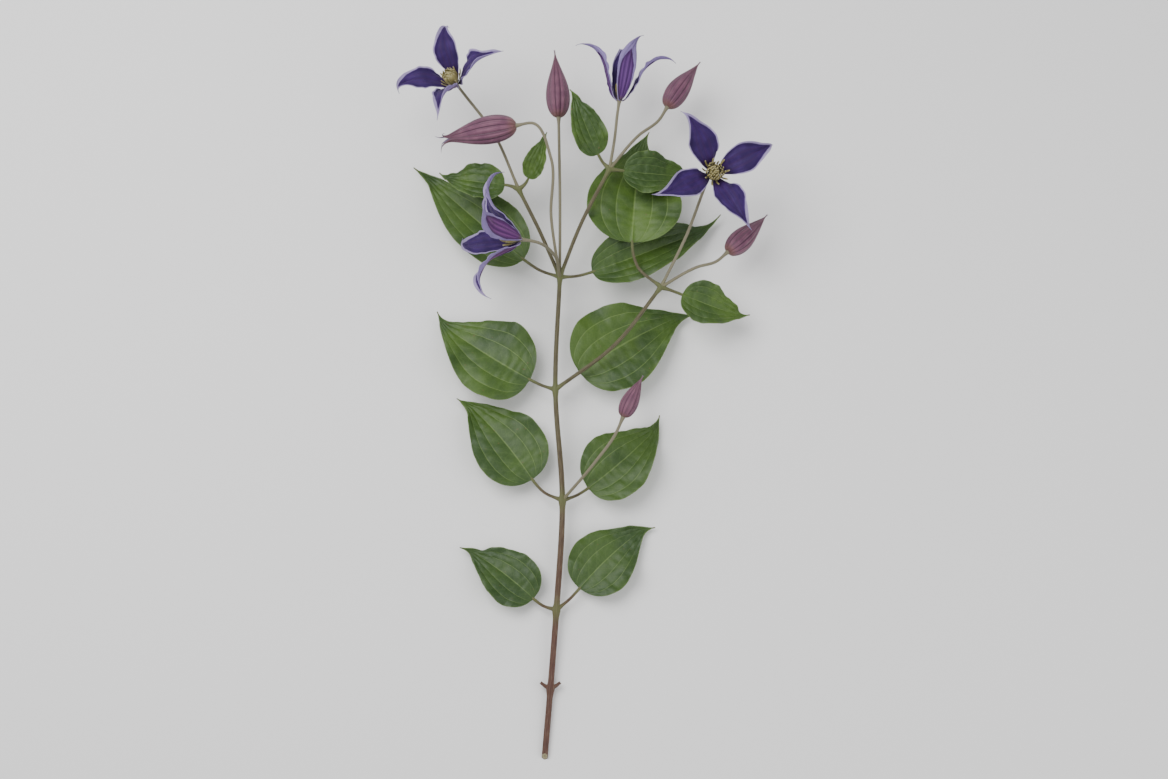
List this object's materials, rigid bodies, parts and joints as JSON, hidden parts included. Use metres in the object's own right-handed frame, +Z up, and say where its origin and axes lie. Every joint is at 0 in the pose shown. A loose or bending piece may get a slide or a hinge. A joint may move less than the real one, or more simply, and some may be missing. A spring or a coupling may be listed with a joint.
{
  "type": "clematis",
  "caption": "Cut clematis stem lying flat: slender stalk with opposite ovate leaves, violet flowers with recurved narrow tepals round cream stamens, and pointed mauve buds.",
  "frame": {"origin": "middle of the lying stem's bounding box, at the height of the surface that it lies on", "axes": "+Y along the stem from its cut end towards its flowers, +Z up from the surface, +X to the right seen from above"},
  "size_m": [0.2653, 0.5136, 0.1181],
  "materials": {
    "stalk": "satin, olive above and red-brown below",
    "leaf": "satin green, matt and paler below",
    "tepal": "matt violet with pale felted margins",
    "stamens": "matt cream and olive yellow",
    "bud": "matt mauve with darker stripes"
  },
  "bodies": {
    "root": {"half_open_bloom_stamens": "stamens", "half_open_bloom_tepal_1": "tepal", "half_open_bloom_tepal_2": "tepal", "half_open_bloom_tepal_3": "tepal", "half_open_bloom_tepal_4": "tepal", "leaf_high_left": "leaf", "leaf_high_right": "leaf", "leaf_left_inner": "leaf", "leaf_left_outer": "leaf", "leaf_low_left": "leaf", "leaf_low_right": "leaf", "leaf_middle_left": "leaf", "leaf_middle_right": "leaf", "leaf_right_inner": "leaf", "leaf_right_outer": "leaf", "leaf_top_left": "leaf", "leaf_top_right": "leaf", "leaf_upper_left": "leaf", "leaf_upper_right": "leaf", "nodding_bloom_stamens": "stamens", "nodding_bloom_tepal_1": "tepal", "nodding_bloom_tepal_2": "tepal", "nodding_bloom_tepal_3": "tepal", "nodding_bloom_tepal_4": "tepal", "nodding_bud": "bud", "open_bloom_stamens": "stamens", "open_bloom_tepal_1": "tepal", "open_bloom_tepal_2": "tepal", "open_bloom_tepal_3": "tepal", "open_bloom_tepal_4": "tepal", "side_bud": "bud", "small_bud": "bud", "stalk": "stalk", "tall_bud": "bud", "turned_bloom_stamens": "stamens", "turned_bloom_tepal_1": "tepal", "turned_bloom_tepal_2": "tepal", "turned_bloom_tepal_3": "tepal", "turned_bloom_tepal_4": "tepal", "upper_bud": "bud"}
  },
  "joints": []
}
